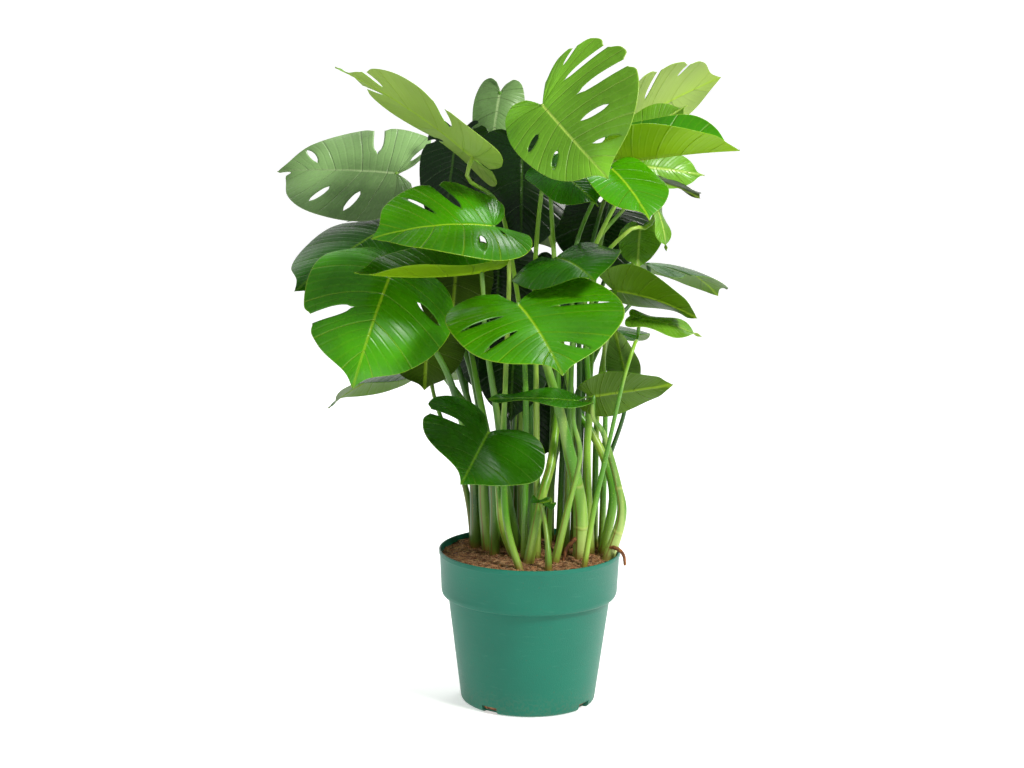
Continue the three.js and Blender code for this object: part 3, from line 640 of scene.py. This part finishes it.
class Shader:
    """A material's node tree, with short calls for the nodes that it is made of."""

    def __init__(self, name):
        self.material = bpy.data.materials.new(name)
        self.material.use_nodes = True
        self.nodes = self.material.node_tree.nodes
        self.links = self.material.node_tree.links
        self.surface = self.nodes["Principled BSDF"]
        self.output = self.nodes["Material Output"]

    def node(self, kind, inputs=None, **settings):
        made = self.nodes.new(kind)
        for key, value in settings.items():
            setattr(made, key, value)
        for key, value in (inputs or {}).items():
            self.put(made.inputs[key], value)
        return made

    def put(self, socket, value):
        if isinstance(value, bpy.types.NodeSocket):
            self.links.new(value, socket)
        else:
            socket.default_value = value

    def math(self, operation, a, b=0.0):
        return self.node("ShaderNodeMath", {0: a, 1: b}, operation=operation).outputs[0]

    def plus(self, a, b):
        return self.math("ADD", a, b)

    def minus(self, a, b):
        return self.math("SUBTRACT", a, b)

    def times(self, a, b):
        return self.math("MULTIPLY", a, b)

    def band(self, value, low, high):
        """0 below low and 1 above high, eased, or the other way round if low is above high."""
        made = self.node("ShaderNodeMapRange", {0: value, 1: low, 2: high}, interpolation_type="SMOOTHSTEP")
        return made.outputs[0]

    def mix(self, share, a, b):
        made = self.node("ShaderNodeMix", data_type="RGBA")
        self.put(made.inputs[0], share)
        self.put(made.inputs[6], a)
        self.put(made.inputs[7], b)
        return made.outputs[2]

    def place(self):
        return self.node("ShaderNodeTexCoord").outputs["Object"]

    def noise(self, scale, detail, stretch=None):
        place = self.place()
        if stretch:
            place = self.node("ShaderNodeMapping", {0: place, 3: stretch}).outputs[0]
        made = self.node("ShaderNodeTexNoise", {0: place, "Scale": scale, "Detail": detail})
        return made.outputs[0]

    def map(self, name):
        uv = self.node("ShaderNodeUVMap", uv_map=name).outputs[0]
        return self.node("ShaderNodeSeparateXYZ", {0: uv}).outputs

    def bump(self, height, distance):
        made = self.node("ShaderNodeBump", {"Height": height, "Distance": distance, "Strength": 1})
        self.put(self.surface.inputs["Normal"], made.outputs[0])
        return made.outputs[0]

    def finish(self, **values):
        for key, value in values.items():
            self.put(self.surface.inputs[key.replace("_", " ")], value)
        return self.material


def colour(red, green, blue):
    """A linear colour from the usual 0 to 255 display values."""
    shown = (red / 255, green / 255, blue / 255)
    return (*(c / 12.92 if c <= 0.04045 else ((c + 0.055) / 1.055) ** 2.4 for c in shown), 1)


# A tone's colours: the upper face, its midrib, the underside, and light that shines through.
# The pale upper face partly paints light on the highest leaves, the grey one paints a greyish sheen,
# and the deep one partly paints shade on leaves inside and behind the plant.
LEAF_COLOURS = {
    "bright": (colour(66, 146, 2), colour(184, 222, 44), colour(150, 196, 10), colour(150, 210, 0)),
    "pale": (colour(120, 180, 46), colour(200, 230, 104), colour(172, 198, 92), colour(172, 218, 40)),
    "grown": (colour(44, 112, 3), colour(128, 178, 36), colour(86, 126, 4), colour(110, 170, 0)),
    "grey": (colour(146, 186, 116), colour(184, 210, 150), colour(112, 148, 60), colour(120, 176, 40)),
    "deep": (colour(15, 44, 8), colour(62, 98, 30), colour(58, 84, 8), colour(60, 110, 2)),
}
THROUGH_SHARE = 0.26


def repeat_distance(shader, value, repeats):
    """Distance from the nearest whole repeat, from 0 on it to 0.5 half way to the next."""
    turn = shader.plus(shader.times(value, repeats), 0.5)
    return shader.math("ABSOLUTE", shader.minus(shader.math("FRACT", turn), 0.5))


def with_light_through(shader, through_colour, normal):
    """Mixes in the light that shines through a thin blade."""
    behind = shader.node("ShaderNodeBsdfTranslucent", {"Color": through_colour, "Normal": normal})
    inputs = {0: THROUGH_SHARE, 1: shader.surface.outputs[0], 2: behind.outputs[0]}
    both = shader.node("ShaderNodeMixShader", inputs)
    shader.links.new(both.outputs[0], shader.output.inputs[0])
    return shader.material


def leaf_top(tone):
    """The waxy upper face: a bright midrib, faint side veins and a thin pale margin."""
    top, vein_colour, _, through_colour = LEAF_COLOURS[tone]
    shader = Shader(f"leaf_top_{tone}")
    vein, flat = shader.map("vein"), shader.map("flat")
    wander = shader.times(shader.minus(shader.noise(14, 2), 0.5), 0.012)
    s = shader.plus(vein[0], wander)
    side_vein = shader.band(repeat_distance(shader, s, VEIN_STEPS / 2), 0.035, 0.0)
    fine_vein = shader.band(repeat_distance(shader, s, VEIN_STEPS * 2), 0.2, 0.0)
    rib = shader.band(shader.math("ABSOLUTE", flat[0]), 0.0026, 0.0009)
    rib_share = shader.band(flat[1], 0.2, -0.02)
    margin = shader.band(vein[1], 0.986, 0.996)
    broad, small = shader.noise(7, 2), shader.noise(60, 4)
    darker = (*(c * 0.6 for c in top[:3]), 1)
    lighter = (*(min(1, c * 1.3) for c in top[:3]), 1)
    base = shader.mix(shader.band(broad, 0.35, 0.68), darker, lighter)
    base = shader.mix(shader.times(shader.band(small, 0.4, 0.7), 0.25), base, top)
    base = shader.mix(shader.times(fine_vein, 0.05), base, vein_colour)
    base = shader.mix(shader.times(side_vein, 0.22), base, vein_colour)
    rib_mix = shader.times(rib, shader.plus(0.3, shader.times(rib_share, 0.65)))
    base = shader.mix(rib_mix, base, vein_colour)
    base = shader.mix(shader.times(margin, 0.55), base, vein_colour)
    height = shader.plus(shader.times(side_vein, -0.8), shader.times(fine_vein, -0.35))
    height = shader.plus(height, shader.times(small, 0.2))
    normal = shader.bump(height, 0.0008)
    rough = shader.plus(0.2, shader.times(small, 0.14))
    shader.finish(Base_Color=base, Roughness=rough, Specular_IOR_Level=0.42)
    return with_light_through(shader, through_colour, normal)


def leaf_under(tone):
    """The duller underside, with raised paler veins."""
    _, _, under, through_colour = LEAF_COLOURS[tone]
    shader = Shader(f"leaf_under_{tone}")
    vein, flat = shader.map("vein"), shader.map("flat")
    side_vein = shader.band(repeat_distance(shader, vein[0], VEIN_STEPS / 2), 0.05, 0.0)
    fine_vein = shader.band(repeat_distance(shader, vein[0], VEIN_STEPS * 2), 0.2, 0.0)
    rib = shader.band(shader.math("ABSOLUTE", flat[0]), 0.0036, 0.001)
    broad = shader.noise(8, 3)
    darker = (*(c * 0.75 for c in under[:3]), 1)
    light = colour(160, 196, 40)
    base = shader.mix(shader.band(broad, 0.3, 0.7), darker, under)
    base = shader.mix(shader.times(side_vein, 0.1), base, light)
    base = shader.mix(shader.times(fine_vein, 0.03), base, light)
    base = shader.mix(shader.times(rib, 0.55), base, light)
    normal = shader.bump(shader.plus(side_vein, shader.times(fine_vein, 0.3)), 0.0008)
    shader.finish(Base_Color=base, Roughness=0.45, Specular_IOR_Level=0.25)
    return with_light_through(shader, through_colour, normal)


STALK_COLOURS = {
    "shaded": (colour(38, 84, 16), colour(84, 136, 30), colour(140, 172, 62)),
    "lit": (colour(78, 138, 22), colour(134, 182, 46), colour(196, 216, 98)),
    "stem": (colour(70, 132, 24), colour(122, 178, 46), colour(206, 222, 128)),
}


def stalk_material(kind):
    """A smooth stalk, streaked along, with the dry brown edge of its sheath, paler towards the soil."""
    shader = Shader(f"stalk_{kind}")
    turn = shader.map("vein")[0]
    along = shader.map("flat")[1]
    streak = shader.noise(34, 3, stretch=(1, 1, 0.06))
    broad = shader.noise(11, 2, stretch=(1, 1, 0.3))
    speck = shader.noise(420, 2)
    deep, fresh, pale = STALK_COLOURS[kind]
    base = shader.mix(shader.band(broad, 0.38, 0.6), deep, fresh)
    base = shader.mix(shader.times(shader.band(streak, 0.5, 0.66), 0.45), base, pale)
    base = shader.mix(shader.times(shader.band(speck, 0.63, 0.7), 0.3), base, pale)
    low = shader.band(shader.plus(along, shader.times(broad, 0.05)), 0.12, 0.04)
    base = shader.mix(shader.times(low, 0.75 if kind == "stem" else 0.35), base, pale)
    brown = colour(128, 92, 40)
    edge = shader.band(shader.math("ABSOLUTE", shader.minus(turn, 0.2)), 0.028, 0.012)
    edge = shader.times(edge, shader.band(along, 0.2, 0.15))
    edge = shader.times(edge, shader.band(streak, 0.4, 0.55))
    base = shader.mix(shader.times(edge, 0.8), base, brown)
    soiled = shader.band(shader.plus(along, shader.times(speck, 0.012)), 0.034, 0.02)
    base = shader.mix(shader.times(soiled, 0.75), base, brown)
    height = streak
    if kind == "stem":
        wander = shader.plus(along, shader.times(shader.noise(28, 2), 0.016))
        ring = shader.band(repeat_distance(shader, wander, 15), 0.07, 0.0)
        ring = shader.times(ring, shader.band(along, 0.15, 0.12))
        base = shader.mix(shader.times(ring, 0.4), base, colour(196, 196, 110))
        height = shader.plus(streak, ring)
    shader.bump(height, 0.0008)
    return shader.finish(Base_Color=base, Roughness=0.32)


def root_material():
    shader = Shader("aerial_root")
    grain = shader.noise(300, 4, stretch=(1, 1, 0.3))
    base = shader.mix(shader.band(grain, 0.35, 0.65), colour(92, 52, 28), colour(160, 104, 58))
    shader.bump(grain, 0.001)
    return shader.finish(Base_Color=base, Roughness=0.8)


def pot_material():
    """Moulded green plastic with faint clouds, scuffs, dust near the base and splashes of soil."""
    shader = Shader("pot_plastic")
    cloud = shader.noise(9, 3)
    fine = shader.noise(650, 2)
    scuff = shader.noise(40, 5, stretch=(1, 1, 6))
    speck = shader.noise(260, 2)
    height = shader.node("ShaderNodeSeparateXYZ", {0: shader.place()}).outputs[2]
    base = shader.mix(cloud, colour(14, 100, 82), colour(20, 122, 98))
    base = shader.mix(shader.times(shader.band(scuff, 0.6, 0.74), 0.1), base, colour(88, 158, 134))
    dust = shader.times(shader.band(height, 0.05, 0.0), shader.band(speck, 0.4, 0.62))
    base = shader.mix(shader.times(dust, 0.14), base, colour(120, 112, 84))
    splash = shader.times(shader.band(speck, 0.69, 0.73), shader.band(cloud, 0.4, 0.6))
    base = shader.mix(shader.times(splash, 0.4), base, colour(86, 74, 50))
    rough = shader.plus(0.36, shader.times(cloud, 0.14))
    shader.bump(shader.plus(fine, shader.times(scuff, 0.6)), 0.0003)
    return shader.finish(Base_Color=base, Roughness=rough, Specular_IOR_Level=0.3)


def soil_material(name, dark, light, scale):
    shader = Shader(name)
    grain = shader.noise(scale, 6)
    patch = shader.noise(18, 3)
    base = shader.mix(shader.band(grain, 0.35, 0.65), dark, light)
    base = shader.mix(shader.times(shader.band(patch, 0.45, 0.7), 0.4), base, dark)
    shader.bump(grain, 0.002)
    return shader.finish(Base_Color=base, Roughness=0.95)


# Pot and soil

POT_SIDES = 192
BEND_STEPS = 5


def rounded(points, radius_at):
    """A profile with its inner corners turned into arcs of the given radii."""
    made = []
    for i, point in enumerate(points):
        radius = radius_at.get(i)
        if not radius:
            made.append(point)
            continue
        a, p, b = (np.array(points[k], float) for k in (i - 1, i, i + 1))
        to_a, to_b = (a - p) / np.linalg.norm(a - p), (b - p) / np.linalg.norm(b - p)
        start, end = p + to_a * radius, p + to_b * radius
        for u in np.linspace(0, 1, BEND_STEPS):
            made.append(tuple((1 - u) ** 2 * start + 2 * u * (1 - u) * p + u**2 * end))
    return made


def inside_profile():
    """The pot's inner wall from its top down."""
    return [
        (RIM_RADIUS - WALL, POT_HEIGHT - 1), (COLLAR_RADIUS - WALL, COLLAR_LOW + 5),
        (NECK_RADIUS - WALL, COLLAR_LOW - 4), (FOOT_RADIUS - WALL, FOOT_ROUND + 2),
        (FOOT_RADIUS - FOOT_ROUND - 1, FLOOR),
    ]


def lathe(name, profile, sides):
    """A closed turned object. The profile starts and ends on the axis."""
    made = bmesh.new()
    rings = []
    for radius, height in profile:
        if radius == 0:
            rings.append([made.verts.new((0, 0, height * MM))])
            continue
        turns = [2 * math.pi * j / sides for j in range(sides)]
        places = [(radius * math.cos(a), radius * math.sin(a), height) for a in turns]
        rings.append([made.verts.new([c * MM for c in place]) for place in places])
    for low, high in zip(rings, rings[1:]):
        for j in range(sides):
            n = (j + 1) % sides
            corners = [low[j % len(low)], low[n % len(low)], high[n % len(high)], high[j % len(high)]]
            made.faces.new(list(dict.fromkeys(corners)))
    bmesh.ops.recalc_face_normals(made, faces=made.faces)
    mesh = bpy.data.meshes.new(name)
    made.to_mesh(mesh)
    made.free()
    mesh.polygons.foreach_set("use_smooth", [True] * len(mesh.polygons))
    return in_scene(name, mesh)


def make_pot():
    outside = [
        (0, 0), (FOOT_RADIUS - FOOT_ROUND, 0), (FOOT_RADIUS - 1, 1.2), (FOOT_RADIUS, FOOT_ROUND),
        (NECK_RADIUS, COLLAR_LOW - 1), (COLLAR_RADIUS - 2, COLLAR_LOW), (COLLAR_RADIUS, COLLAR_LOW + 6),
        (RIM_RADIUS - 1.4, POT_HEIGHT - RIM_BAND), (RIM_RADIUS - 0.2, POT_HEIGHT - RIM_BAND + 1.4),
        (RIM_RADIUS, POT_HEIGHT), (RIM_RADIUS - WALL, POT_HEIGHT),
    ]
    inside = inside_profile()
    arcs = {2: 5, 4: 1.5, 5: 2.5, 6: 2.5, 8: 0.8, 9: 1.1, 10: 0.9}
    profile = rounded(outside + inside[1:] + [(0, FLOOR)], arcs)
    pot = lathe("nursery_pot", profile, POT_SIDES)
    for i in range(DRAIN_COUNT):
        bpy.ops.mesh.primitive_cube_add(size=1)
        drain = bpy.context.object
        drain.scale = [side * MM for side in DRAIN_SIZE]
        turn = Matrix.Rotation(math.radians(DRAIN_TURN) + 2 * math.pi * i / DRAIN_COUNT, 4, "Z")
        place = Matrix.Translation((0, -FOOT_RADIUS * MM, 0))
        drain.matrix_world = turn @ place @ Matrix.Diagonal((*drain.scale, 1))
        cut = pot.modifiers.new("drain", "BOOLEAN")
        cut.object = drain
        cut.operation = "DIFFERENCE"
        bpy.context.view_layer.objects.active = pot
        bpy.ops.object.modifier_apply(modifier=cut.name)
        bpy.data.objects.remove(drain)
    pot.data.set_sharp_from_angle(angle=math.radians(38))
    pot.data.materials.clear()
    pot.data.materials.append(pot_material())
    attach(pot, "root")
    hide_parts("pot")


SOIL_RINGS = 70
SOIL_SIDES = 260
SOIL_GAP = 0.3
SOIL_WAVE = 2.2
SOIL_ROUGH = 2.6


def soil_height(x, y):
    """The soil's surface, in millimetres, at a place in millimetres."""
    edge = RIM_RADIUS - 3.5
    dome = SOIL_DOME * (1 - math.hypot(x, y) / edge)
    broad = noise.noise(Vector((x, y, 0)) * 0.035) * SOIL_WAVE
    clods = noise.fractal(Vector((x, y, 7)) * 0.11, 0.9, 2.1, 4) * SOIL_ROUGH
    return SOIL_HEIGHT + dome + broad + clods


def make_soil():
    (top_radius, top), (low_radius, low), *rest = inside_profile()
    edge = low_radius + (top_radius - low_radius) * (SOIL_HEIGHT - low) / (top - low) - SOIL_GAP
    rings = [(edge * k / SOIL_RINGS, SOIL_HEIGHT) for k in range(SOIL_RINGS, 0, -1)]
    fill = [(r - SOIL_GAP, z + SOIL_GAP) for r, z in [(low_radius, low), *rest]]
    soil = lathe("potting_soil", [(0, FLOOR + SOIL_GAP), *fill[::-1], *rings, (0, SOIL_HEIGHT)], SOIL_SIDES)
    for vertex in soil.data.vertices:
        if vertex.co.z > (SOIL_HEIGHT - 1) * MM:
            vertex.co.z = soil_height(vertex.co.x / MM, vertex.co.y / MM) * MM
    soil.data.materials.append(soil_material("soil", colour(74, 46, 28), colour(158, 110, 70), 140))
    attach(soil, "root")
    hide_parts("soil")


CRUMBS = 900
FIBRES = 1500
FIBRE_STEPS = 6


def scattered_place(draw):
    radius = (RIM_RADIUS - 9) * math.sqrt(draw.random())
    turn = draw.uniform(0, 2 * math.pi)
    return radius * math.cos(turn), radius * math.sin(turn)


def make_crumbs(draw):
    """Clods and bark crumbs, lying in the soil's surface."""
    made = bmesh.new()
    for _ in range(CRUMBS):
        x, y = scattered_place(draw)
        size = draw.uniform(1.2, 4.2) if draw.random() < 0.85 else draw.uniform(4, 7)
        shape = Matrix.Diagonal((size, size * draw.uniform(0.5, 1), size * draw.uniform(0.35, 0.7), 1))
        turn = Matrix.Rotation(draw.uniform(0, 6.28), 4, "Z")
        turn = turn @ Matrix.Rotation(draw.uniform(-0.6, 0.6), 4, "X")
        place = Matrix.Translation((x, y, soil_height(x, y) + size * 0.15))
        whole = Matrix.Scale(MM, 4) @ place @ turn @ shape
        verts = bmesh.ops.create_icosphere(made, subdivisions=1, radius=0.5, matrix=whole)["verts"]
        for vertex in verts:
            vertex.co += Vector([draw.uniform(-0.12, 0.12) * size * MM for _ in range(3)])
    mesh = bpy.data.meshes.new("soil_crumbs")
    made.to_mesh(mesh)
    made.free()
    mesh.materials.append(soil_material("crumb", colour(100, 62, 38), colour(186, 130, 84), 220))
    obj = in_scene("soil_crumbs", mesh)
    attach(obj, "root")


def make_fibres(draw):
    """Thin coir fibres lying over the soil."""
    parts = []
    for _ in range(FIBRES):
        x, y = scattered_place(draw)
        turn = draw.uniform(0, 2 * math.pi)
        length = draw.uniform(6, 24)
        curl = draw.uniform(-0.09, 0.09)
        places = []
        for k in range(FIBRE_STEPS + 1):
            if math.hypot(x, y) > RIM_RADIUS - 6:
                break
            places.append((x, y, soil_height(x, y) + 0.5 + 0.8 * math.sin(k)))
            turn += curl * length / FIBRE_STEPS
            x += math.cos(turn) * length / FIBRE_STEPS
            y += math.sin(turn) * length / FIBRE_STEPS
        if len(places) < 4:
            continue
        line = np.array(places)
        corners, faces, maps = tube(line, np.full(len(line), draw.uniform(0.22, 0.5)), 4)
        parts.append((corners, faces, [0] * len(faces), maps))
    material = soil_material("fibre", colour(140, 100, 66), colour(204, 164, 120), 90)
    obj = mesh_object("coir_fibres", parts, [material])
    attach(obj, "root")


# Stage

def make_camera():
    pitch, yaw, roll = (math.radians(a) for a in (CAMERA_PITCH, CAMERA_YAW, CAMERA_ROLL))
    ahead = Vector((-math.sin(yaw) * math.cos(pitch), math.cos(yaw) * math.cos(pitch), -math.sin(pitch)))
    level = Vector((math.cos(yaw), math.sin(yaw), 0))
    upright = level.cross(ahead)
    right = level * math.cos(roll) + upright * math.sin(roll)
    up = upright * math.cos(roll) - level * math.sin(roll)
    data = bpy.data.cameras.new("camera")
    data.sensor_width = SENSOR_MM
    data.lens = FOCAL_PIXELS * SENSOR_MM / FRAME_PIXELS
    camera = in_scene("camera", data)
    turned = Matrix((right, up, -ahead)).transposed().to_4x4()
    camera.matrix_world = Matrix.Translation(CAMERA_PLACE) @ turned
    bpy.context.scene.camera = camera


def make_floor():
    """A pale floor that curves up into a back wall far behind the plant."""
    radius, wall, start, depth, half = 1.5, 5.5, -6.0, 6.0, 9.0
    profile = [(start, 0), (depth - radius, 0)]
    for k in range(1, 17):
        angle = math.pi / 2 * k / 16
        profile.append((depth - radius + radius * math.sin(angle), radius - radius * math.cos(angle)))
    profile.append((depth, wall))
    corners = [(x, y, z) for y, z in profile for x in (-half, half)]
    faces = [(2 * k, 2 * k + 1, 2 * k + 3, 2 * k + 2) for k in range(len(profile) - 1)]
    mesh = bpy.data.meshes.new("floor")
    mesh.from_pydata(corners, [], faces)
    mesh.polygons.foreach_set("use_smooth", [True] * len(faces))
    shader = Shader("floor")
    pale, glow = (0.88, 0.88, 0.87, 1), (1, 1, 0.99, 1)
    shader.finish(Base_Color=pale, Roughness=0.9, Emission_Color=glow, Emission_Strength=0.5)
    mesh.materials.append(shader.material)
    floor = in_scene("floor", mesh)


def area_light(name, place, aim, size, power, tint=(1, 1, 1), in_gloss=True):
    data = bpy.data.lights.new(name, "AREA")
    data.shape = "DISK"
    data.size = size
    data.energy = power
    data.color = tint
    lamp = in_scene(name, data)
    lamp.location = place
    lamp.rotation_euler = (Vector(aim) - Vector(place)).to_track_quat("-Z", "Y").to_euler()
    lamp.visible_glossy = in_gloss


def make_light():
    middle = (0, 0, 0.65)
    area_light("key", (1.7, -1.6, 2.5), middle, 0.8, 92, (1, 0.985, 0.95))
    area_light("fill", (-2.2, -2.4, 1.6), middle, 1.6, 6)
    area_light("back", (0.5, 1.7, 2.9), middle, 1.5, 44, in_gloss=False)
    area_light("glint", (0.5, 1.7, 2.9), middle, 0.5, 14)
    world = bpy.data.worlds.new("world")
    world.use_nodes = True
    world.node_tree.nodes["Background"].inputs[0].default_value = (0.96, 0.98, 1, 1)
    world.node_tree.nodes["Background"].inputs[1].default_value = 0.32
    bpy.context.scene.world = world
    bpy.context.scene.view_settings.view_transform = "Standard"


def main():
    make_camera()
    make_floor()
    make_light()
    draw = random.Random(SEED)
    make_pot()
    make_soil()
    make_crumbs(draw)
    make_fibres(draw)
    stalks = {kind: stalk_material(kind) for kind in STALK_COLOURS}
    root = root_material()
    tones = {tone: (leaf_top(tone), leaf_under(tone)) for tone in LEAF_COLOURS}
    for plan in LEAVES:
        top, under = tones[tone_of(plan["number"])]
        leaf_object(plan, [top, under, stalks[stalk_kind_of(plan["number"])], root])


main()
